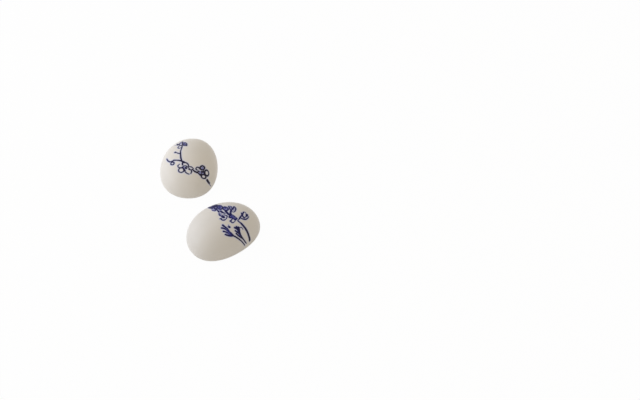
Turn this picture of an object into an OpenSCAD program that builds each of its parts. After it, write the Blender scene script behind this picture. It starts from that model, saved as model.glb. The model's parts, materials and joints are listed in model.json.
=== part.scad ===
// Set of two pebble-shaped chopstick rests in glazed porcelain.
// Both come from one mould: a hollow shell of even wall, cast through its open foot.
// Each stands by itself on the flat, unglazed rim round that opening.
// Millimetres, +Z up. The origin lies under the middle of the set, on the table.

/* [Pebble] */
// Length of a rest at its widest level
stone_l = 52; // [44:1:60]
// Width of a rest at its widest level
stone_w = 41; // [34:1:46]
// Height of a rest from the table to its crown
stone_h = 22; // [18:0.5:28]
// Height of the widest level above the table
belly_h = 4.2; // [2.6:0.2:5]
// Half width that the narrow end loses to the blunt end
taper = 0.55; // [0:0.05:1.5]
// Sideways bow of the long middle line
bow = 1.6; // [0:0.1:3]
// Power of the outline, where 2 is an ellipse and more is squarer
outline_power = 2.14; // [2:0.02:2.5]
// Power of the dome's height, where 2 is an ellipse and more has fuller shoulders
dome_power = 2.1; // [2:0.05:2.6]

/* [Foot] */
// Length of the flat foot
foot_l = 43; // [36:0.5:45]
// Width of the flat foot
foot_w = 33.5; // [28:0.5:35]
// Width of the flat rim round the opening in the foot
rim_w = 3.2; // [2.4:0.1:4]
// Rounding of the rim's inner edge
lip_r = 0.8; // [0.3:0.1:1.2]

/* [Shell] */
// Wall at the crown and at the widest level
wall = 4; // [3:0.25:5]

/* [Set] */
// Distance of the rear rest behind the front one
set_back = 58.2; // [56:0.2:90]
// Distance of the rear rest to the left of the front one
set_aside = 27.6; // [0:0.2:60]
// Turn of the rear rest's long axis from the X axis
rear_turn = 90; // [0:1:180]
// Turn of the front rest's long axis from the X axis
front_turn = 35; // [0:1:180]

/* [Hidden] */
// Points round each level, and levels of the dome, the tucked-in flank and the lip
sides = 60;
dome_steps = 14;
flank_steps = 5;
lip_steps = 3;
// How far the hollow's cutter runs out below the foot
overrun = 1;
porcelain = [0.93, 0.92, 0.89];

// Opening in the foot, measured where the lip's rounding has turned upright
mouth_l = foot_l - 2 * (rim_w + lip_r);
mouth_w = foot_w - 2 * (rim_w + lip_r);
hollow_l = stone_l - 2 * wall;
hollow_w = stone_w - 2 * wall;
hollow_h = stone_h - wall;

// A cosine or sine bent to the outline's power
function squared(v) = sign(v) * pow(abs(v), 2 / outline_power);

// One level of the pebble: its outline for a given length and width, at height z.
// The taper and the bow shrink with the width, so that every level has the same shape.
function level(l, w, z) = let (k = w / stone_w) [
    for (i = [0 : sides - 1])
        let (c = squared(cos(360 * i / sides)), s = squared(sin(360 * i / sides)))
            [l / 2 * c, (w / 2 - taper * k * c) * s + bow * k * (1 / 2 - c * c), z]
];

// Levels of a dome that rises from z to top_z over an outline, all but the crown itself
function dome(l, w, z, top_z) = [
    for (j = [0 : dome_steps - 1])
        let (a = 90 * j / dome_steps)
            level(l * cos(a), w * cos(a), z + (top_z - z) * pow(sin(a), 2 / dome_power))
];

// Levels of a flank that swells from one outline at z0 to a wider one just under z1
function flank(l0, w0, z0, l1, w1, z1) = [
    for (j = [0 : flank_steps - 1])
        let (a = 90 * j / flank_steps)
            level(l0 + (l1 - l0) * sin(a), w0 + (w1 - w0) * sin(a), z1 - (z1 - z0) * cos(a))
];

// Levels of the rounded lip, from the flat of the rim up to just under the mouth
function lip() = [
    for (j = [0 : lip_steps - 1])
        let (a = 90 * j / lip_steps, out = 2 * lip_r * (1 - sin(a)))
            level(mouth_l + out, mouth_w + out, lip_r * (1 - cos(a)))
];

// Closed solid over a stack of levels, with a flat underside and one crown point
module stack(levels, top_z) {
    n = len(levels);
    points = concat([for (ring = levels) each ring], [[0, 0, top_z]]);
    faces = concat(
        [[for (i = [0 : sides - 1]) i]],
        [for (j = [0 : n - 2], i = [0 : sides - 1])
            let (a = j * sides + i, b = j * sides + (i + 1) % sides)
                each [[a, a + sides, b], [b, a + sides, b + sides]]],
        [for (i = [0 : sides - 1])
            let (a = (n - 1) * sides + i, b = (n - 1) * sides + (i + 1) % sides)
                [a, n * sides, b]]
    );
    polyhedron(points, faces);
}

module pebble() {
    stack(concat(flank(foot_l, foot_w, 0, stone_l, stone_w, belly_h),
                 dome(stone_l, stone_w, belly_h, stone_h)), stone_h);
}

module hollow() {
    flat = 2 * lip_r;
    stack(concat([level(mouth_l + flat, mouth_w + flat, -overrun)], lip(),
                 flank(mouth_l, mouth_w, lip_r, hollow_l, hollow_w, belly_h),
                 dome(hollow_l, hollow_w, belly_h, hollow_h)), hollow_h);
}

module rest_shell() {
    difference() {
        pebble();
        hollow();
    }
}

// Outline of a rest at its widest level, turned and moved to its place in the set.
function turned(ring, turn, shift) = [
    for (p = ring)
        [p.x * cos(turn) - p.y * sin(turn) + shift.x, p.x * sin(turn) + p.y * cos(turn) + shift.y]
];
belly = level(stone_l, stone_w, belly_h);
rear_shift = [-set_aside, set_back];
spread = concat(turned(belly, rear_turn, rear_shift), turned(belly, front_turn, [0, 0]));
xs = [for (p = spread) p.x];
ys = [for (p = spread) p.y];
middle = [(min(xs) + max(xs)) / 2, (min(ys) + max(ys)) / 2];

module rear_rest() {
    color(porcelain)
        translate(rear_shift - middle)
            rotate(rear_turn)
                rest_shell();
}

module front_rest() {
    color(porcelain)
        translate(-middle)
            rotate(front_turn)
                rest_shell();
}

rear_rest();
front_rest();
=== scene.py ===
# %% [markdown]
# # Two pebble rests in blue and white porcelain
# This lesson dresses a set of two small porcelain rests for a photograph. Each rest is a hollow
# pebble: cast in a mould, dipped in a white glaze, painted with a blossoming branch in cobalt blue,
# and wiped bare at the foot. The shape comes from the construction model. What is made here is the
# skin: the roll of the glaze over the bare foot, the painting, the sheen, and the light. Everything
# is in metres in the end, but a potter thinks in millimetres, so the lengths below are in
# millimetres until they are written into a mesh.

import json
import math

import bmesh
import bpy
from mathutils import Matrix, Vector
from mathutils.bvhtree import BVHTree

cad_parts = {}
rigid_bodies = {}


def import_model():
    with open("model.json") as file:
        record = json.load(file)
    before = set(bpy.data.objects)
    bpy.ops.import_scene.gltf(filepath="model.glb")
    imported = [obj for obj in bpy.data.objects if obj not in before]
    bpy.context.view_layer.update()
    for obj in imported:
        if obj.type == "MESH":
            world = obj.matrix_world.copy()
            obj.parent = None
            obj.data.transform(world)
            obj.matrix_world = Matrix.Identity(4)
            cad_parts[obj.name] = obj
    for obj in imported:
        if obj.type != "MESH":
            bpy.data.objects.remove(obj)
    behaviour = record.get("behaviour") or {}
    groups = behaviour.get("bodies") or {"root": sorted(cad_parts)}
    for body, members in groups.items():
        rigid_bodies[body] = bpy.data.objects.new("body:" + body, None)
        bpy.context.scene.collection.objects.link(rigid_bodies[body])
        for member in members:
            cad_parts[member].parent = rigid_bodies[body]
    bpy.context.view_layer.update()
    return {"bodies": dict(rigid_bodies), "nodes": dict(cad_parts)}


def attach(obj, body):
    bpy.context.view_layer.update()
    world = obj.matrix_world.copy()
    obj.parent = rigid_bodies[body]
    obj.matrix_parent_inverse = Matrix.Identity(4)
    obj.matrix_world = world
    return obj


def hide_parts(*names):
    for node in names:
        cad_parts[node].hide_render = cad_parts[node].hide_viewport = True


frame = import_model()
MM = 0.001  # metres in a millimetre
body = next(iter(frame["bodies"]))

# %% [markdown]
# ## Where each rest stands
# Both rests come from one mould and differ only in place and turn. The crown, the highest point of
# the dome, is a good origin for each, because the painting is laid out round it. The crown is read
# from the construction model as its highest vertex, and the turn of the long axis is the one that
# the model was built with.

# %% Read the crowns
TURNS = {"rear_rest": 90.0, "front_rest": 35.0}


def crown_of(node):
    """The highest vertex of a rest, in millimetres."""
    return max((v.co for v in frame["nodes"][node].data.vertices), key=lambda co: co.z) / MM


CROWNS = {node: crown_of(node) for node in TURNS}
for node, crown in CROWNS.items():
    print(node, "crown at", [round(v, 3) for v in crown], "mm, turned", TURNS[node], "degrees")

# %% [markdown]
# ## The pebble as a stack of levels
# A pebble has no straight line and no true circle in it, so neither a lathe nor an extrusion makes
# it. A loft does: a stack of closed outlines, each a little squarer than an ellipse, narrower at
# one end and bowed to one side. The same outline at every height, only scaled, keeps the surface
# calm. A subdivided cube or a sculpt would come close by eye, but the levels give the mould's real
# sizes, and they can be set close together where the glaze ends.

# %% Sizes of the mould, in millimetres
STONE_L, STONE_W, STONE_H = 52.0, 41.0, 22.0
BELLY_H = 4.2  # height of the widest level
FOOT_L, FOOT_W = 43.0, 33.5
TAPER, BOW = 0.55, 1.6  # taken from half the width towards one end, and pushed to one side
OUTLINE_POWER, DOME_POWER = 2.14, 2.1  # 2 would be an ellipse
RIM_W, LIP_R, WALL = 3.2, 0.8, 4.0
MOUTH_L, MOUTH_W = FOOT_L - 2 * (RIM_W + LIP_R), FOOT_W - 2 * (RIM_W + LIP_R)
HOLLOW_L, HOLLOW_W, HOLLOW_H = STONE_L - 2 * WALL, STONE_W - 2 * WALL, STONE_H - WALL
SIDES = 144  # points round each outline
# The construction model has flat sides, and their middles lie this far inside the true curve. The
# finer skin is drawn in by as much, so that it never leaves the model's box.
SKIN_IN = 0.04
print("pebble", STONE_L, "by", STONE_W, "by", STONE_H, "mm, opening", MOUTH_L, "by", MOUTH_W, "mm")

# %% [markdown]
# ## One outline
# A cosine and a sine draw a circle. Raised to a power a little under 1 they fill its corners, which
# gives the calm, slightly squared plan of a river pebble. The taper takes from the width towards
# one end, and the bow pushes the middle to one side. Both shrink with the outline, so every level
# is the same shape at its own size.

# %% Outline of one level
def squared(value):
    """A cosine or sine bent to the outline's power."""
    return math.copysign(abs(value) ** (2 / OUTLINE_POWER), value)


def level(length, width, z, inset=None):
    """One closed outline of the pebble at height z, each point drawn in by inset(angle)."""
    k = width / STONE_W
    points = []
    for i in range(SIDES):
        angle = 2 * math.pi * i / SIDES
        c, s = squared(math.cos(angle)), squared(math.sin(angle))
        x = length / 2 * c
        y = (width / 2 - TAPER * k * c) * s + BOW * k * (0.5 - c * c)
        shrink = 1 - inset(angle) / math.hypot(x, y) if inset else 1
        points.append(Vector((x * shrink, y * shrink, z)))
    return points


print("outline has", SIDES, "points, about", round(math.pi * STONE_L / SIDES, 2), "mm apart")

# %% [markdown]
# ## The roll of the glaze
# The glaze is about a fifth of a millimetre thick. Before the firing the foot is wiped clean with a
# sponge, so that it doesn't stick to the kiln shelf, and the glaze ends in a soft roll just above
# the table. The line is drawn by hand and wanders a little. Here it is real geometry: below the
# line the bare body is set in by the thickness of the glaze, and the levels are close enough
# together for the roll to look round.

# %% Glaze line
GLAZE_T = 0.18  # thickness
GLAZE_LINE = 1.35  # mean height of the wiped line
GLAZE_ROLL = 0.32  # height of the rolled edge
# How far the hand wanders up and down, how often on the way round, and where it begins
WIPE_WAVES = ((0.13, 2, 0.7), (0.07, 5, 2.1))


def glaze_line(angle):
    """Height of the wiped line round the foot, in millimetres."""
    waves = (rise * math.sin(count * angle + start) for rise, count, start in WIPE_WAVES)
    return GLAZE_LINE + sum(waves)


def bare_inset(z):
    """How far a level at height z is drawn in, as a function of the angle round it."""

    def inset(angle):
        t = min(1.0, max(0.0, (glaze_line(angle) + GLAZE_ROLL - z) / GLAZE_ROLL))
        return SKIN_IN + GLAZE_T * (1 - math.sqrt(1 - t * t))

    return inset


wiped = [glaze_line(math.radians(degrees)) for degrees in range(360)]
print("glaze line between", round(min(wiped), 2), "and", round(max(wiped), 2), "mm above the table")

# %% [markdown]
# ## From crown to crown
# The skin is one closed surface. It runs down the dome, round the widest level and under the
# tucked-in flank, over the roll of the glaze to the flat foot, then round the lip and up inside the
# hollow. Each stretch has its own spacing of levels. The curves are quarter ellipses, written with
# a sine and a cosine, so that they start upright and end level, and neighbouring stretches meet
# without a crease.

# %% Quarter turns and the flank
DOME_STEPS, FLANK_STEPS, ROLL_STEPS, LIP_STEPS, HOLLOW_STEPS = 44, 9, 16, 5, 24


def quarter(steps, first=0, last=None):
    """Pairs of cosine and sine over a quarter turn, from step first to step last."""
    last = steps if last is None else last
    turns = (math.pi / 2 * j / steps for j in range(first, last + 1))
    return [(math.cos(a), math.sin(a)) for a in turns]


def flank(z):
    """Length and width of the tucked-in flank at height z, which lies under the widest level."""
    out = math.sqrt(max(0.0, 1 - (1 - z / BELLY_H) ** 2))
    return FOOT_L + (STONE_L - FOOT_L) * out, FOOT_W + (STONE_W - FOOT_W) * out


print("the flank is", [round(size, 1) for size in flank(GLAZE_LINE)], "mm across at the glaze line")

# %% [markdown]
# ## The outside, from the crown to the foot
# The levels stand closest where the glaze rolls over its edge, because that is the smallest curve
# on the rest. Spacing them evenly would either miss the roll or spend thousands of faces on the
# dome.

# %% Outer levels
ROLL_TOP, ROLL_FOOT = 2.1, 0.75  # the stretch, in height, that gets the closest levels


def outer_levels():
    """Levels from just under the crown down to the foot."""
    rise, trim = STONE_H - SKIN_IN - BELLY_H, 2 * SKIN_IN
    for c, s in quarter(DOME_STEPS, 1):
        # From the crown downwards, so the sine scales the outline and the cosine sets the height
        z = BELLY_H + rise * c ** (2 / DOME_POWER)
        yield level((STONE_L - trim) * s, (STONE_W - trim) * s, z)
    spans = ((BELLY_H, ROLL_TOP, FLANK_STEPS), (ROLL_TOP, ROLL_FOOT, ROLL_STEPS),
             (ROLL_FOOT, 0.0, FLANK_STEPS))
    for high, low, steps in spans:
        for j in range(1, steps + 1):
            # The last stretch closes up towards the foot, where the flank turns level
            share = j / steps if low else math.sin(math.pi / 2 * j / steps)
            z = high + (low - high) * share
            yield level(*flank(z), z, bare_inset(z))


OUTER = list(outer_levels())
print(len(OUTER), "levels outside")

# %% [markdown]
# ## The inside, from the lip to the top of the hollow
# Cast porcelain has an even wall, so the hollow is the pebble again, smaller by the wall on every
# side. The lip is rounded, as a sponge leaves it, and leads into the undercut behind the foot's
# rim.

# %% Inner levels
def inner_levels():
    """Levels from the inner edge of the foot's rim up to just under the top of the hollow."""
    for c, s in quarter(LIP_STEPS):
        grow = 2 * LIP_R * (1 - s)
        yield level(MOUTH_L + grow, MOUTH_W + grow, LIP_R * (1 - c))
    for c, s in quarter(FLANK_STEPS, 1):
        length, width = MOUTH_L + (HOLLOW_L - MOUTH_L) * s, MOUTH_W + (HOLLOW_W - MOUTH_W) * s
        yield level(length, width, BELLY_H - (BELLY_H - LIP_R) * c)
    rise = HOLLOW_H - BELLY_H
    for c, s in quarter(HOLLOW_STEPS, 1, HOLLOW_STEPS - 1):
        yield level(HOLLOW_L * c, HOLLOW_W * c, BELLY_H + rise * s ** (2 / DOME_POWER))


INNER = list(inner_levels())
print(len(INNER), "levels inside")

# %% [markdown]
# ## Building the skin
# The levels become a mesh with one ring of four-sided faces between each two of them and a fan at
# each crown. The faces under the glaze line and inside the hollow get a second material slot for
# the bare body. The mesh is written straight into its place, and its distance from the construction
# model is measured, so that the skin is known to be the same pebble.

# %% Loft one rest
GLAZED_SLOT, BARE_SLOT = 0, 1  # material slots of a skin


def loft(placed):
    """The closed mesh of one rest, each point put in its place by the function placed."""
    bm = bmesh.new()
    rings = [[bm.verts.new(placed(p)) for p in outline] for outline in OUTER + INNER]
    top, under = (bm.verts.new(placed(Vector((0, 0, z)))) for z in (STONE_H - SKIN_IN, HOLLOW_H))
    for j, (upper, lower) in enumerate(zip(rings, rings[1:])):
        for i in range(SIDES):
            face = bm.faces.new((upper[i - 1], lower[i - 1], lower[i], upper[i]))
            angle = 2 * math.pi * (i - 0.5) / SIDES
            wiped_off = face.calc_center_median().z / MM < glaze_line(angle)
            face.material_index = BARE_SLOT if j >= len(OUTER) - 1 or wiped_off else GLAZED_SLOT
    for i in range(SIDES):
        bm.faces.new((top, rings[0][i - 1], rings[0][i])).material_index = GLAZED_SLOT
        bm.faces.new((under, rings[-1][i], rings[-1][i - 1])).material_index = BARE_SLOT
    bmesh.ops.recalc_face_normals(bm, faces=bm.faces)
    return bm


print("one mesh of", (len(OUTER) + len(INNER)) * SIDES + 2, "points for each rest")

# %% [markdown]
# ## Putting a skin in its place
# The skin rides on the body of the construction model and stands for one of its nodes, so whoever
# moves the body moves the skin. A tree of the model's faces answers how far each point of the skin
# lies from the nearest of them.

# %% Skin of one rest
def far_from(mesh, model):
    """The greatest distance from the points of a mesh to the construction model, in millimetres."""
    tree = BVHTree.FromPolygons([v.co for v in model.vertices],
                                [p.vertices for p in model.polygons])
    return max(tree.find_nearest(v.co)[-1] for v in mesh.vertices) / MM


def skin(name, node, glaze, bare):
    """The visible shell of one rest, standing for its construction node."""
    turn, crown = math.radians(TURNS[node]), CROWNS[node]
    cos, sin = math.cos(turn), math.sin(turn)

    def placed(p):
        return Vector((p.x * cos - p.y * sin + crown.x, p.x * sin + p.y * cos + crown.y, p.z)) * MM

    bm = loft(placed)
    mesh = bpy.data.meshes.new(name)
    bm.to_mesh(mesh)
    bm.free()
    mesh.shade_smooth()
    for material in (glaze, bare):
        mesh.materials.append(material)
    piece = bpy.data.objects.new(name, mesh)
    bpy.context.scene.collection.objects.link(piece)
    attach(piece, body)
    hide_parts(node)
    far = round(far_from(mesh, frame["nodes"][node].data), 3)
    print(name, len(mesh.polygons), "faces, at most", far, "mm from the construction model")


print("skin is ready")

# %% [markdown]
# ## Sums on sockets
# A material is a tree of small nodes, and wiring them one by one hides the idea behind the wires.
# The class below wraps one output socket and lets Python's own signs add the nodes, so that a
# stroke of paint reads as the sum that it is. A vector or a colour goes through Vector Math and a
# plain number through Math. Everything else, such as a noise or a mix of colours, comes from the
# one method node.

# %% Wire
class Wire:
    """An output socket of a material's tree, on which sums can be written."""

    def __init__(self, tree, socket=None):
        self.tree, self.socket = tree, socket

    def node(self, kind, settings=None, inputs=None, out=0):
        """A new node: its settings first, then the values or links of its sockets."""
        made = self.tree.nodes.new("ShaderNode" + kind)
        for name, value in (settings or {}).items():
            setattr(made, name, value)
        for key, value in (inputs or {}).items():
            if isinstance(value, Wire):
                self.tree.links.new(made.inputs[key], value.socket)
            else:
                made.inputs[key].default_value = value
        return Wire(self.tree, made.outputs[out] if len(made.outputs) else None)

    def op(self, operation, *values):
        """A Math node, or a Vector Math node if this socket has three numbers."""
        kind = "Math" if self.socket.type == "VALUE" else "VectorMath"
        return self.node(kind, {"operation": operation}, dict(enumerate(values)))

    def __add__(self, other):
        return self.op("ADD", self, other)

    __radd__ = __add__

    def __sub__(self, other):
        return self.op("SUBTRACT", self, other)

    def __rsub__(self, other):
        return self.op("SUBTRACT", other, self)

    def __mul__(self, other):
        # A vector times a number is a node of its own, whichever of the two this socket is
        if self.socket.type == "VALUE" and isinstance(other, tuple):
            return self.node("VectorMath", {"operation": "SCALE"}, {0: other, "Scale": self})
        if self.socket.type != "VALUE" and not isinstance(other, tuple):
            return self.node("VectorMath", {"operation": "SCALE"}, {0: self, "Scale": other})
        return self.op("MULTIPLY", self, other)

    __rmul__ = __mul__

    def __abs__(self):
        return self.op("ABSOLUTE", self)

    def most(self, other):
        """The larger of two numbers."""
        return self.op("MAXIMUM", self, other)

    def held(self):
        """This number, held between 0 and 1."""
        return self.node("Clamp", {}, {0: self})

    def dot(self, vector):
        """How far this place lies along a direction."""
        return self.node("VectorMath", {"operation": "DOT_PRODUCT"}, {0: self, 1: vector}, "Value")

    def length(self):
        """The distance of this place from the origin."""
        return self.node("VectorMath", {"operation": "LENGTH"}, {0: self}, "Value")

    def step(self, low, high):
        """A smooth rise from 0 at low to 1 at high, or a fall where high is the smaller."""
        limits = {"Value": self, "From Min": low, "From Max": high}
        return self.node("MapRange", {"interpolation_type": "SMOOTHSTEP"}, limits)

    def blend(self, first, second):
        """Mixes two colours by this mask: first where it is 0, second where it is 1."""
        # A Mix node has sockets for each kind of value: its colours are 6 and 7, and come out at 2
        return self.node("Mix", {"data_type": "RGBA"}, {0: self, 6: first, 7: second}, 2)


def empty_tree(owner):
    """A cleared tree of a new material or world, ready for its first node."""
    owner.use_nodes = True
    owner.node_tree.nodes.clear()
    return Wire(owner.node_tree)


print("Wire is ready")

# %% [markdown]
# ## A flat sheet over a dome
# A painter turns the pebble under the brush, so the painting looks as if it were drawn on a sheet
# and wrapped over the dome. Seen from straight above it would crowd together towards the flank. The
# sheet's coordinates are therefore the plan, stretched more the further the surface has dropped
# below the crown, as an unrolled dome is. Two soft noises push the sheet about by a few tenths of a
# millimetre, which is what a hand does to a line.

# %% Sheet coordinates
DROP_SHARES = (0.333, 0.238)  # stretch of the plan with the first and the second power of the drop
HAND = ((0.22, 0.5), (1.1, 0.3))  # for each noise its waves in a millimetre and its reach in mm


def sheet_over(tree, crown):
    """Sheet coordinates in mm from the crown, +X right and +Y away, and the plain place in mm."""
    mm = (tree.node("TexCoord", out="Object") - tuple(crown * MM)) * (1 / MM)
    drop = mm.dot((0, 0, -1 / (STONE_H - BELLY_H)))
    flat = mm * (1, 1, 0) * ((drop * DROP_SHARES[1] + DROP_SHARES[0]) * drop + 1)
    for scale, reach in HAND:
        noise = mm.node("TexNoise", {}, {"Vector": mm, "Scale": scale, "Detail": 1.0}, "Color")
        flat = flat + (noise - (0.5, 0.5, 0.5)) * (reach, reach, 0)
    return flat, mm


print("the widest level lies", round(sum(DROP_SHARES) + 1, 2), "times as far out on the sheet")

# %% [markdown]
# ## Four kinds of mark
# Blue and white painting is made of few marks: a line that swells or thins, a ring for a petal, a
# dab, and a leaf pressed down with the side of the brush. Each function below returns, for every
# point of the sheet, how deep the point lies inside the mark, in millimetres, negative outside it.
# Marks are joined by taking the larger depth, and one step at the end turns depth into paint. This
# costs a few nodes a mark, stays sharp at any distance, and needs no picture.

# %% Lines
def line(sheet, start, end, w0, w1, bow=0.0):
    """A stroke from start to end that goes from half width w0 to w1, bowed to its left by bow."""
    run = Vector((end[0] - start[0], end[1] - start[1], 0))
    off = sheet - (*start, 0)
    t = off.dot(tuple(run / run.length_squared)).held()
    core = off - t * tuple(run)
    if bow:
        side = Vector((-run.y, run.x, 0)).normalized() * (4 * bow)
        core = core - (1 - t) * t * tuple(side)
    return t * (w1 - w0) + w0 - core.length()


print("marks so far: line")

# %% [markdown]
# ## Ovals
# Rings, dabs and leaves are all ovals. A Mapping node set to texture mode gives coordinates in
# which the oval is a plain circle, so its depth is one minus the length of those coordinates, and a
# ring is the strip on both sides of its edge. An open petal is a ring with a bite taken out on one
# side.

# %% Ovals
GAP_EDGE = 8.0  # how sharply the paint ends at the gap of an open ring


def in_oval(sheet, centre, rx, ry, turn):
    """Sheet coordinates in which the oval is a circle of radius 1."""
    oval = {"Vector": sheet, "Location": (*centre, 0), "Rotation": (0, 0, math.radians(turn)),
            "Scale": (rx, ry, 1)}
    return sheet.node("Mapping", {"vector_type": "TEXTURE"}, oval)


def ring(sheet, centre, rx, ry, turn=0.0, w=0.42, gap=None, gap_share=0.3):
    """The outline of an oval petal. gap is the direction in degrees in which it is left open."""
    u = in_oval(sheet, centre, rx, ry, turn)
    depth = w - abs(u.length() - 1) * math.sqrt(rx * ry)
    if gap is not None:
        way = math.radians(gap - turn)
        past = u.dot((math.cos(way), math.sin(way), 0)) - (1 - gap_share)
        depth = depth - past.most(0.0) * GAP_EDGE
    return depth


def dab(sheet, centre, rx, ry, turn=0.0):
    """A filled oval."""
    return (1 - in_oval(sheet, centre, rx, ry, turn).length()) * math.sqrt(rx * ry)


def leaf(sheet, tip, root, w):
    """A slim oval from tip to root, w wide on each side of its middle."""
    run = Vector((root[0] - tip[0], root[1] - tip[1]))
    middle = ((tip[0] + root[0]) / 2, (tip[1] + root[1]) / 2)
    return dab(sheet, middle, run.length / 2, w, math.degrees(math.atan2(run.y, run.x)))


def joined(sheet, marks):
    """A list of marks made on a sheet, all together: the larger depth of each two."""
    total = None
    for make, *shape in marks:
        depth = make(sheet, *shape)
        total = depth if total is None else total.most(depth)
    return total


print("marks now: line, ring, dab, leaf")

# %% [markdown]
# ## The branch on the front rest
# The painting follows an old and common pattern: blossom on a forked twig, a bud on a stalk of its
# own, and two tufts of leaves below. Each mark is a row of a list: its kind, its places in
# millimetres on the sheet from the crown, its half widths, and its bow. A list can be counted,
# reordered and added to, which a picture can't. It begins with the stem and the bud, drawn in full
# cobalt.

# %% Front stem and bud
FRONT_STEM = [
    # The bare stem, thin at the twig and heavy at its cut end
    (line, (11.4, -2.2), (12.5, -0.5), 0.42, 0.3, 0.1),
    (line, (11.6, -2.4), (14.4, -3.8), 0.42, 0.58, 0.1),
    (line, (14.4, -3.8), (22.5, -9.6), 0.72, 0.98, 0.3),
    (line, (22.5, -9.7), (26.5, -12.9), 0.9, 1.2, 0.1),
    # The bud, on a stalk that leaves the stem's thin end
    (line, (12.5, -0.3), (14.4, 3.0), 0.66, 0.55, 0.2),
    (line, (13.8, 5.1), (16.0, 1.6), 0.55, 0.75, -0.5),
    (line, (14.6, 3.4), (15.5, 7.0), 0.65, 0.52, 0.2),
    (line, (15.4, 7.0), (17.4, 6.1), 0.48, 0.45, 0.8),
    (line, (17.4, 6.1), (17.4, 4.2), 0.45, 0.42, 0.1),
    (line, (16.0, 1.6), (17.7, 3.6), 0.4, 0.4, -0.2),
    (dab, (18.3, 4.8), 1.7, 1.05, 68),
    (line, (13.5, 0.4), (17.3, 0.6), 0.42, 0.58, -0.4),
    (line, (17.3, 0.6), (19.9, 4.3), 0.58, 0.42, -0.4),
]
print("front stem and bud:", len(FRONT_STEM), "marks")

# %% [markdown]
# ## The twig and the petals on its fork
# The twig is drawn with two lines and filled between them in a thinner blue further on. The petals
# at its fork are single strokes that don't quite close, as a quick brush leaves them.

# %% Front twig
FRONT_TWIG = [
    # The twig, drawn with two lines, and its fork
    (line, (6.4, 2.1), (10.7, -0.6), 0.45, 0.45, 0.1),
    (line, (5.4, -0.2), (9.8, -1.9), 0.45, 0.45, -0.2),
    (line, (10.7, -0.6), (9.8, -1.9), 0.5, 0.5, 0.2),
    (line, (5.7, 1.1), (2.5, 5.1), 0.8, 0.88, 0.3),
    (line, (6.2, 1.7), (6.4, 5.9), 0.75, 0.65, 0.3),
    # Petals at the fork's upper end
    (line, (6.4, 5.9), (8.2, 11.0), 0.65, 0.6, -0.1),
    (line, (8.2, 11.0), (8.9, 5.5), 0.55, 0.52, 0.9),
    (line, (8.9, 5.5), (6.8, 5.0), 0.45, 0.4, 0.8),
    (line, (4.2, 10.9), (5.7, 6.0), 0.52, 0.5, 0.1),
    (line, (4.3, 10.9), (6.6, 10.1), 0.42, 0.42, 0.4),
    (line, (6.5, 10.0), (6.4, 6.8), 0.3, 0.36, 0.1),
]
print("front twig:", len(FRONT_TWIG), "marks")

# %% [markdown]
# ## Blossoms beside the twig
# One blossom is seen into, with its dark eye, and a small one hangs under the twig. Their petals
# are bowed lines, because a petal with an open end looks painted where a closed ring looks stamped.

# %% Front blossoms
FRONT_BLOSSOMS = [
    # Blossom below the twig's left arm, seen into
    (line, (-0.4, -2.3), (3.5, -1.8), 0.55, 0.48, -1.3),
    (line, (3.5, -1.8), (2.2, 1.1), 0.48, 0.45, -1.1),
    (line, (0.2, 0.3), (2.6, 0.7), 0.38, 0.42, 0.5),
    (dab, (1.4, -0.8), 1.3, 1.0, -20),
    (dab, (0.0, -2.2), 0.8, 0.65),
    (line, (-1.7, 2.6), (0.4, -0.2), 0.45, 0.42, -0.6),
    (leaf, (-2.9, 5.6), (-1.6, 3.2), 0.62),
    (line, (-0.4, 4.4), (2.3, 2.6), 0.92, 0.5, -0.3),
    # Small blossom under the twig
    (line, (6.2, -3.6), (9.4, -3.2), 0.5, 0.42, -1.1),
    (line, (9.4, -3.2), (8.7, -1.9), 0.42, 0.4, -0.5),
    (line, (6.2, -3.6), (7.4, -2.0), 0.42, 0.36),
    (dab, (6.6, -3.4), 0.75, 0.6, -35),
    (line, (5.5, 0.6), (6.2, -1.2), 0.45, 0.42, -0.7),
]
print("front blossoms:", len(FRONT_BLOSSOMS), "marks")

# %% [markdown]
# ## Crowded petals on the far side of the dome
# From here the sheet falls away from the eye, and whatever is painted there is seen foreshortened.
# The petals are therefore drawn long in that direction, as a painter does on a round piece.

# %% Front crown
FRONT_CROWN = [
    # Blossom at the crown, and the crowded ones behind it
    (ring, (2.3, 7.6), 2.3, 1.6, -58, 0.55),
    (line, (1.6, 9.6), (2.6, 7.6), 0.5, 0.3, 0.1),
    (ring, (-1.9, 9.8), 3.3, 1.7, -63, 0.66),
    (line, (-3.0, 12.0), (-1.9, 8.9), 0.42, 0.3, 0.1),
    (line, (-6.4, 9.9), (-3.2, 5.9), 0.72, 0.6, 0.1),
    (dab, (-3.6, 8.5), 1.0, 0.8, -40),
    (ring, (-6.0, 7.1), 2.1, 0.9, -47, 0.4, 130, 0.7),
    (dab, (-5.8, 13.4), 3.8, 2.15, -67),
    (dab, (-7.6, 10.2), 1.8, 1.0, -64),
    (dab, (-10.0, 12.9), 4.8, 1.25, -58),
    (line, (-9.0, 12.6), (-8.4, 15.6), 0.7, 0.7, 0.3),
]
print("front crown:", len(FRONT_CROWN), "marks")

# %% [markdown]
# ## Tufts of leaves and their stems
# Each leaf is one stroke, set down at its tip and pulled to the root, so it is widest at the tip.
# In the right tuft the strokes run into one another, and in the left one only their tips stay
# apart.

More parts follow.
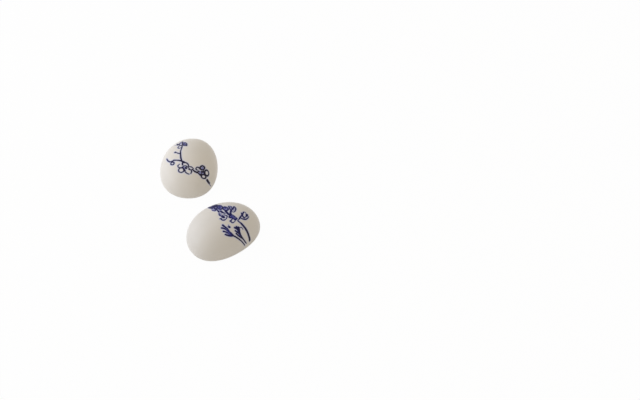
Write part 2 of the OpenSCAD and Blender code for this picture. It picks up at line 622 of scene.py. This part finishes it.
# %% Front leaves
FRONT_LEAVES = [
    # Right tuft, pressed down dark, and its hook
    (line, (9.8, -7.9), (12.8, -9.0), 0.66, 0.5),
    (line, (11.2, -7.2), (13.3, -10.0), 0.9, 0.5),
    (line, (12.6, -7.3), (13.5, -10.6), 0.95, 0.5),
    (line, (10.5, -10.0), (13.6, -11.5), 0.56, 0.5),
    (line, (11.5, -11.8), (14.0, -13.3), 0.6, 0.5),
    (line, (14.0, -13.3), (17.0, -14.2), 0.55, 0.5),
    (line, (13.4, -8.0), (17.3, -13.6), 0.62, 0.65, -0.8),
    (line, (13.5, -7.2), (16.2, -7.4), 0.3, 0.4, 0.8),
    # Both stems
    (line, (16.2, -13.2), (23.5, -16.5), 0.65, 0.5, -0.2),
    (line, (9.3, -13.7), (22.3, -18.4), 0.6, 0.5, 0.2),
    # Tips of the left tuft, where the brush set down, and its upper edge
    (line, (1.4, -7.1), (4.3, -9.2), 0.72, 0.5, -0.1),
    (line, (0.9, -9.2), (3.8, -10.1), 0.74, 0.42, 0.1),
    (line, (2.1, -11.5), (5.2, -12.4), 0.64, 0.38, 0.1),
    (line, (3.6, -13.7), (8.6, -14.1), 0.66, 0.48, -0.4),
    (line, (4.4, -9.3), (9.4, -13.4), 0.3, 0.5, -0.5),
    # Stray mark over the left tuft
    (dab, (5.9, -8.1), 0.95, 0.8),
    (line, (5.2, -6.6), (5.7, -8.0), 0.2, 0.36),
    (line, (4.6, -7.7), (5.7, -8.1), 0.2, 0.3, 0.1),
]
print("front leaves:", len(FRONT_LEAVES), "marks")

# %% [markdown]
# ## The thinner blues
# The brush holds cobalt in three strengths: full for the lines, thinner for leaves and crowded
# petals, and a pale wash inside the petals. Each strength is one list, so each can have its own
# colour and its own edge later, and the lines always lie on top.

# %% Front fills and washes
FRONT_FILLS = [
    # Left tuft: leaves that run together at one root
    (line, (4.2, -9.2), (9.2, -13.7), 0.5, 0.6),
    (line, (3.6, -10.1), (9.2, -13.7), 0.5, 0.6),
    (line, (5.0, -12.4), (9.2, -13.7), 0.46, 0.6),
    (line, (4.6, -14.0), (9.2, -13.7), 0.4, 0.6),
    # Right tuft, between its dark leaves
    (line, (12.6, -8.6), (15.0, -12.6), 1.35, 0.7),
    # Crowded petals, painted solid in the thinner blue, and the twig
    (dab, (-2.2, 10.2), 2.5, 1.15, -63),
    (dab, (2.0, 8.8), 1.4, 1.1, -58),
    (dab, (-6.9, 11.2), 2.6, 1.5, -64),
    (line, (9.6, -1.2), (6.2, 0.9), 0.7, 0.65),
]
FRONT_WASHES = [
    (dab, (2.4, 7.6), 2.9, 2.2, -58),
    (dab, (-1.9, 9.8), 3.6, 2.1, -63),
    (dab, (-6.0, 7.1), 2.4, 1.2, -47),
    (dab, (-2.6, 7.0), 3.4, 1.0, -48),
    (dab, (8.0, 7.8), 0.8, 2.0, -6),
    (dab, (5.6, 9.3), 0.9, 1.6, -10),
    (dab, (-0.6, 1.7), 0.8, 1.2),
    (dab, (6.4, -12.8), 3.6, 1.5, -25),
    (dab, (14.2, -11.6), 2.4, 1.2, -60),
]
FRONT_LINES = FRONT_STEM + FRONT_TWIG + FRONT_BLOSSOMS + FRONT_CROWN + FRONT_LEAVES
FRONT_PAINTING = (FRONT_LINES, FRONT_FILLS, FRONT_WASHES)
print("front painting:", [len(marks) for marks in FRONT_PAINTING], "lines, fills and washes")

# %% [markdown]
# ## The branch on the rear rest
# The rear rest has the same pattern in another cut: a thin branch comes down from the upper left
# with a small closed bud and carries two open blossoms side by side. The left blossom has five
# petals, and all but one are bowed lines round a dark eye.

# %% Rear branch and left blossom
REAR_BRANCH = [
    # Branch down the left, with its round bud
    (line, (-17.2, -1.0), (-13.4, -5.8), 0.55, 0.6, -0.5),
    (line, (-13.4, -5.8), (-10.0, -5.6), 0.6, 0.75, -0.3),
    (line, (-11.4, -5.9), (-11.1, -7.0), 0.6, 0.6),
    (ring, (-11.0, -8.05), 1.45, 1.15, -30, 0.58),
    (line, (-10.0, -5.6), (-4.8, -6.7), 0.55, 0.5, 0.2),
    (line, (-4.8, -6.7), (-1.9, -8.4), 0.65, 0.8),
    (line, (-2.8, -8.2), (-2.9, -10.6), 0.6, 0.5, -0.2),
    # Left blossom: five petals round a dark eye
    (line, (-1.9, -8.4), (1.4, -11.2), 0.52, 0.52, 0.7),
    (line, (1.4, -11.2), (1.1, -12.9), 0.52, 0.45, 0.3),
    (line, (-5.3, -10.0), (-5.9, -12.2), 0.48, 0.52, -0.8),
    (line, (-5.9, -12.2), (-2.7, -12.4), 0.45, 0.45, -0.5),
    (ring, (-3.8, -14.8), 2.05, 1.8, -21, 0.45),
    (dab, (-1.2, -15.1), 0.85, 0.95),
    (line, (-2.9, -12.0), (1.0, -12.4), 0.4, 0.42, 0.9),
    (line, (-2.7, -12.4), (-1.1, -14.6), 0.36, 0.45, -0.1),
    (dab, (-0.3, -13.1), 1.05, 0.8, -55),
    (dab, (2.1, -13.9), 0.75, 0.65),
    (line, (1.2, -12.5), (5.0, -13.5), 0.4, 0.42, 0.9),
    (line, (5.0, -13.6), (1.6, -14.1), 0.4, 0.36, 0.8),
    (line, (3.0, -14.5), (3.5, -17.5), 0.42, 0.55, 0.8),
    (line, (-1.1, -15.8), (2.2, -18.2), 0.45, 0.36, -0.4),
]
print("rear branch:", len(REAR_BRANCH), "marks")

# %% [markdown]
# ## The right blossom and the end of the branch
# This blossom is drawn with a fuller brush, petal by petal in closed rings. A heavy stroke ends the
# branch at the lower right, and the brush leaves the surface in a thin tail.

# %% Rear right blossom
REAR_BLOSSOM = [
    # Twig between the blossoms
    (line, (4.8, -14.5), (8.5, -16.4), 0.55, 0.8, -0.3),
    # Right blossom, drawn with a fuller brush
    (ring, (8.3, -13.1), 1.35, 1.2, 51, 0.46, -40, 0.3),
    (ring, (11.8, -11.6), 1.95, 1.6, 41, 0.62),
    (ring, (16.3, -14.9), 2.6, 1.85, -68, 0.68),
    (ring, (13.9, -18.9), 2.15, 1.65, -15, 0.64),
    (dab, (11.9, -15.0), 1.0, 0.8, -30),
    (line, (11.7, -15.6), (11.5, -17.6), 0.4, 0.36),
    (line, (12.9, -13.0), (13.5, -14.8), 0.5, 0.45),
    (line, (12.9, -14.5), (14.3, -17.3), 0.48, 0.5, 0.2),
    (dab, (9.2, -15.1), 0.95, 0.65),
    (line, (8.3, -16.3), (10.6, -18.0), 0.5, 0.6),
    (dab, (11.0, -18.0), 1.15, 0.9, -23),
    # Heavy stroke at the end, and its thin tail
    (line, (18.0, -21.4), (21.0, -23.4), 1.15, 1.15, -0.1),
    (line, (21.0, -23.8), (24.3, -25.6), 0.4, 0.25, -0.1),
]
print("rear right blossom:", len(REAR_BLOSSOM), "marks")

# %% [markdown]
# ## The blossom high up at the back
# One more blossom sits at the far side of the crown, on a twig of its own. It gets the few fills
# and washes of this rest together with the open blossoms.

# %% Rear high blossom, fills and washes
REAR_HIGH = [
    # Blossom high at the back, and its twig
    (line, (-11.8, 12.5), (-9.3, 12.2), 0.2, 0.4),
    (dab, (-9.3, 12.3), 2.3, 0.85, -66),
    (line, (-8.8, 11.6), (-7.6, 13.0), 0.25, 0.25),
    (line, (-7.5, 10.3), (-7.6, 13.6), 0.4, 0.42, 0.2),
    (line, (-7.6, 13.6), (-5.9, 15.8), 0.42, 0.5, 0.5),
    (line, (-5.9, 15.6), (-4.7, 9.4), 0.5, 0.62),
    (line, (-3.6, 13.4), (-1.5, 8.2), 0.36, 0.5, 0.6),
    (line, (-3.6, 12.4), (-3.1, 9.0), 0.28, 0.25, 0.1),
    (line, (-7.4, 10.1), (-1.5, 7.9), 0.36, 0.45, -0.3),
    (ring, (-6.5, 7.4), 1.6, 1.5, 0),
    (line, (-4.7, 7.2), (-3.6, -7.4), 0.42, 0.65, -1.0),
    (line, (-5.3, -0.2), (-9.0, 2.0), 0.5, 0.36, 0.3),
    (dab, (-9.6, 2.2), 1.0, 0.75, -50),
]
REAR_FILLS = [
    (dab, (-2.4, 8.9), 1.1, 0.9),
    (line, (-5.0, 12.6), (-4.4, 10.0), 0.7, 0.7),
]
REAR_WASHES = [
    (dab, (-4.0, 11.4), 1.8, 3.0, 15),
    (dab, (-6.9, 13.6), 0.7, 2.4, 5),
    (dab, (-1.4, -12.9), 1.7, 1.3),
    (dab, (11.6, -16.0), 2.2, 1.5),
    (dab, (11.9, -11.9), 1.5, 1.3),
]
REAR_PAINTING = (REAR_BRANCH + REAR_BLOSSOM + REAR_HIGH, REAR_FILLS, REAR_WASHES)
print("rear painting:", [len(marks) for marks in REAR_PAINTING], "lines, fills and washes")

# %% [markdown]
# ## Colours of the glaze and of the cobalt
# The white is a warm, slightly grey glaze. Each rest has its own white, with a cloud of a second
# one in it, and the rear rest's are a shade lighter: painted light, standing in for the stronger
# light that falls on the rear rest. Where the glaze gathers above the wiped foot it is thicker, and
# a trace greener. Cobalt is nearly black where it lies thick and blue where it is thin, and it
# bleeds a little into the glaze beside it, which gives every line a faint blue halo. Colours are
# written as the renderer counts them, as shares of light and not as screen values.

# %% Glaze and cobalt
# The rear rest's white and cloud are lighter than the front's as painted light, for the stronger
# light on that rest
GLAZE_WHITES_WITH_PAINTED_LIGHT = {"front_rest": (0.735, 0.712, 0.672, 1), "rear_rest": (0.772, 0.744, 0.694, 1)}
GLAZE_CLOUDS_WITH_PAINTED_LIGHT = {"front_rest": (0.715, 0.697, 0.662, 1), "rear_rest": (0.752, 0.729, 0.684, 1)}
GLAZE_THICK = (0.66, 0.672, 0.63, 1)
COBALT_LINE = (0.004, 0.004, 0.07, 1)
COBALT_BLACK = (0.01, 0.007, 0.02, 1)
COBALT_FILL = (0.024, 0.028, 0.23, 1)
COBALT_SMOKE = (0.04, 0.036, 0.085, 1)
COBALT_PALE = (0.17, 0.18, 0.42, 1)
COBALT_HALO = (0.54, 0.575, 0.75, 1)
shares = {node: round(sum(white[:3]) / 3, 2) for node, white in GLAZE_WHITES_WITH_PAINTED_LIGHT.items()}
print("the glaze gives back these shares of the light:", shares)

# %% [markdown]
# ## How the paint lies
# The marks give depths in millimetres, and a smooth step between two depths turns them into paint.
# Wet cobalt flows, so one noise pushes every edge about and thins the washes here and there. The
# lines get hard edges, the washes soft ones.

# %% Edges of the paint
FLOW_SCALE, FLOW_DETAIL = 0.9, 2.0
# For each strength, how far the flow pushes the edge, and the depths between which the paint begins
LINE_EDGE, FILL_EDGE, WASH_EDGE = (0.3, -0.1, 0.08), (0.6, -0.12, 0.12), (1.2, -0.4, 0.5)
LINE_CORE = (-0.05, 0.3)  # depths over which a line goes from its thin edge to its full strength
HALO_REACH = (-1.1, 0.2)  # depths over which the halo rises towards a line


def noise_about(mm, scale, detail):
    """A soft noise with scale waves in a millimetre."""
    return mm.node("TexNoise", {}, {"Vector": mm, "Scale": scale, "Detail": detail})


def paint_mask(depth, flow, push, low, high):
    """1 where the paint lies and 0 beside it, with an edge that the flow has pushed about."""
    return (depth + flow * push).step(low, high)


for push, low, high in (LINE_EDGE, FILL_EDGE, WASH_EDGE):
    print("edge", round(high - low, 2), "mm soft, pushed by up to", round(push / 2, 2), "mm")

# %% [markdown]
# ## Glazed and painted porcelain
# The cobalt lies under the glaze, so paint and white share one satin surface: the paint changes the
# colour, and the roughness by a trace. A brush leaves more cobalt where it rests, so a line darkens
# with the depth inside it. Towards one end of the branch the cobalt was laid on thicker: full
# cobalt fires black there, and thin cobalt a smoky grey. Faint waves, as a dipped skin has, go into
# the normal through a Bump node. A picture wrapped round the pebble would give the same look from
# one side, but it would stretch on the flank and blur close up.

# %% Painted glaze
CLOUD_SCALE, CLOUD_DETAIL, CLOUD_EDGE = 0.05, 2.0, (0.3, 0.7)
GATHER_H = 1.8  # height over which the glaze thins upwards from its rolled edge
RIPPLE_SCALE, RIPPLE_DETAIL, RIPPLE_H, RIPPLE_STRENGTH = 0.35, 1.0, 0.04, 0.25
GLAZE_ROUGH, PAINT_ROUGH, GLAZE_SPECULAR = 0.36, 0.03, 0.15
WASH_STRENGTH, FILL_STRENGTH, FILL_FLOW = 0.9, 0.95, 0.5


def painted_glaze(name, node, painting, black_way, black_from):
    """The glaze of one rest, its lines turning black over the stretch black_from of black_way."""
    material = bpy.data.materials.new(name)
    tree = empty_tree(material)
    sheet, mm = sheet_over(tree, CROWNS[node])
    lines, fills, washes = (joined(sheet, marks) for marks in painting)
    flow = noise_about(mm, FLOW_SCALE, FLOW_DETAIL) - 0.5
    # The white below the paint
    cloud = noise_about(mm, CLOUD_SCALE, CLOUD_DETAIL).step(*CLOUD_EDGE)
    gather = mm.dot((0, 0, 1)).step(GLAZE_LINE + GATHER_H - STONE_H, GLAZE_LINE - STONE_H)
    # The rear rest's whites carry painted light: they are a shade lighter for the stronger light on
    # it
    white = gather.blend(cloud.blend(GLAZE_CLOUDS_WITH_PAINTED_LIGHT[node], GLAZE_WHITES_WITH_PAINTED_LIGHT[node]), GLAZE_THICK)
    white = lines.step(*HALO_REACH).blend(white, COBALT_HALO)
    # The three strengths of cobalt
    wash = paint_mask(washes, flow, *WASH_EDGE) * (flow + WASH_STRENGTH).held()
    fill = paint_mask(fills, flow, *FILL_EDGE) * (flow * FILL_FLOW + FILL_STRENGTH).held()
    paint = paint_mask(lines, flow, *LINE_EDGE)
    black = sheet.dot(black_way).step(*black_from)
    thin, full = black.blend(COBALT_FILL, COBALT_SMOKE), black.blend(COBALT_LINE, COBALT_BLACK)
    stroke = lines.step(*LINE_CORE).blend(thin, full)
    colour = paint.blend(fill.blend(wash.blend(white, COBALT_PALE), COBALT_FILL), stroke)
    # The dipped skin
    ripple = {"Strength": RIPPLE_STRENGTH, "Distance": RIPPLE_H * MM,
              "Height": noise_about(mm, RIPPLE_SCALE, RIPPLE_DETAIL)}
    finish = {"Base Color": colour, "Roughness": paint * PAINT_ROUGH + GLAZE_ROUGH,
              "Normal": mm.node("Bump", {}, ripple), "Specular IOR Level": GLAZE_SPECULAR}
    mm.node("OutputMaterial", {}, {"Surface": mm.node("BsdfPrincipled", {}, finish)})
    print(name, len(material.node_tree.nodes), "nodes")
    return material


front_glaze = painted_glaze("painted_glaze_front", "front_rest", FRONT_PAINTING,
                            black_way=(0.6, -0.8, 0), black_from=(8.0, 24.0))
rear_glaze = painted_glaze("painted_glaze_rear", "rear_rest", REAR_PAINTING,
                           black_way=(1, 0, 0), black_from=(-26.0, 8.0))

# %% [markdown]
# ## Bare porcelain
# Where the foot was wiped, and inside the hollow, the fired body is bare: a little creamier than
# the glaze, matt, and with the fine drag of the sponge in it. One noise gives both its clouded
# colour and its fine tooth, so that the two go together. With both finishes ready, the two skins
# are made.

# %% Bare body and both skins
BARE_DULL, BARE_PALE = (0.70, 0.66, 0.58, 1), (0.76, 0.72, 0.65, 1)
GRAIN_SCALE, GRAIN_DETAIL, GRAIN_H, GRAIN_STRENGTH = 2.5, 4.0, 0.05, 0.5
BARE_ROUGH = 0.8


def bare_porcelain(name):
    """The fired body without glaze."""
    material = bpy.data.materials.new(name)
    mm = empty_tree(material).node("TexCoord", out="Object") * (1 / MM)
    grain = noise_about(mm, GRAIN_SCALE, GRAIN_DETAIL)
    colour = grain.step(*CLOUD_EDGE).blend(BARE_DULL, BARE_PALE)
    tooth = {"Strength": GRAIN_STRENGTH, "Distance": GRAIN_H * MM, "Height": grain}
    finish = {"Base Color": colour, "Roughness": BARE_ROUGH, "Normal": mm.node("Bump", {}, tooth)}
    mm.node("OutputMaterial", {}, {"Surface": mm.node("BsdfPrincipled", {}, finish)})
    print(name, len(material.node_tree.nodes), "nodes")
    return material


bare = bare_porcelain("bare_porcelain")
skin("rear_shell", "rear_rest", rear_glaze, bare)
skin("front_shell", "front_rest", front_glaze, bare)

# %% [markdown]
# ## Floor
# The floor is white paper. Straight to the camera, and in reflections, it glows at just under full
# white, as an overexposed product backdrop does. For every other ray it is plain matt paper, so the
# rests still get its bounce and leave a faint shadow.

# %% White paper
PAPER = (0.9, 0.9, 0.9, 1)
PAPER_GLOW = 0.97  # share of full white that the camera sees
PAPER_HALF = 3.0  # metres
PAPER_DROP = 0.00005  # metres below the feet, so that no two faces meet


def backdrop_rays(tree, share):
    """share for rays that should see the white backdrop, 0 for those that light the rests."""
    seen = tree.node("LightPath", out="Is Camera Ray")
    for kind in ("Is Glossy Ray", "Is Transmission Ray"):
        seen = seen.most(tree.node("LightPath", out=kind))
    return seen * share


def paper_floor():
    """The white floor, which is part of the stage and not of the set."""
    material = bpy.data.materials.new("white_paper")
    tree = empty_tree(material)
    paper = tree.node("BsdfDiffuse", {}, {"Color": PAPER})
    glow = tree.node("Emission", {}, {"Color": (1, 1, 1, 1), "Strength": 1.0})
    mixed = tree.node("MixShader", {}, {0: backdrop_rays(tree, PAPER_GLOW), 1: paper, 2: glow})
    tree.node("OutputMaterial", {}, {"Surface": mixed})
    mesh = bpy.data.meshes.new("floor")
    square = ((-1, -1), (1, -1), (1, 1), (-1, 1))
    corners = [(x * PAPER_HALF, y * PAPER_HALF, -PAPER_DROP) for x, y in square]
    mesh.from_pydata(corners, [], [(0, 1, 2, 3)])
    mesh.materials.append(material)
    floor = bpy.data.objects.new("floor", mesh)
    bpy.context.scene.collection.objects.link(floor)
    return floor


floor = paper_floor()
print("floor", [round(v, 2) for v in floor.dimensions], "m")

# %% [markdown]
# ## Light
# The light has two parts. One broad lamp stands low at the left and a little behind, like a window
# in daylight, and gives the bright left flank with its soft end down the middle of the dome.
# Everything else is even and warmer, and comes from the world, which gives the cream tone on the
# right. Together they light a white surface to about its own colour.

# %% Lamp and world
DAYLIGHT, ROOM_LIGHT, ROOM_STRENGTH = (0.79, 0.855, 1.0), (1.0, 0.915, 0.795, 1), 0.615


def soft_lamp(name, place, target, size, watts, colour):
    """A round lamp at a place in metres, turned to its target, size across."""
    lamp = bpy.data.lights.new(name, "AREA")
    lamp.shape, lamp.size, lamp.energy, lamp.color = "DISK", size, watts, colour
    holder = bpy.data.objects.new(name, lamp)
    holder.location = place
    holder.rotation_euler = (Vector(target) - Vector(place)).to_track_quat("-Z", "Y").to_euler()
    bpy.context.scene.collection.objects.link(holder)
    return holder


window = soft_lamp("window", place=(-0.85, 0.13, 0.36), target=(0, 0, 0.01), size=1.1, watts=6.5,
                   colour=DAYLIGHT)
world = bpy.data.worlds.new("studio")
bpy.context.scene.world = world
studio = empty_tree(world)
even = studio.node("Background", {}, {"Color": ROOM_LIGHT, "Strength": ROOM_STRENGTH})
white = studio.node("Background", {}, {"Color": (1, 1, 1, 1), "Strength": 1.0})
both = studio.node("MixShader", {}, {0: backdrop_rays(studio, 1.0), 1: even, 2: white})
studio.node("OutputWorld", {}, {"Surface": both})
print("lamp", round(window.location.length, 2), "m away,", window.data.energy, "W")

# %% [markdown]
# ## The camera
# The photograph looks down at about 49 degrees from 0.68 m away, with the set at the left of the
# frame. The camera aims at the table point in the middle of the picture.

# %% Camera
AIM = Vector((77.8, 2.65, 0.0)) * MM
ELEVATION, DISTANCE = math.radians(49.13), 0.68
FOCAL_PX, IMAGE_W, SENSOR = 963.0, 640, 36.0  # the first two in pixels, the sensor in mm
NEAR = 0.01
camera = bpy.data.objects.new("camera", bpy.data.cameras.new("camera"))
camera.data.sensor_width = SENSOR
camera.data.lens = FOCAL_PX / IMAGE_W * SENSOR
camera.data.clip_start = NEAR
camera.location = AIM + Vector((0, -math.cos(ELEVATION), math.sin(ELEVATION))) * DISTANCE
camera.rotation_euler = (AIM - camera.location).to_track_quat("-Z", "Y").to_euler()
bpy.context.scene.collection.objects.link(camera)
bpy.context.scene.camera = camera
bpy.context.scene.view_settings.view_transform = "Standard"
print("lens", round(camera.data.lens, 2), "mm")
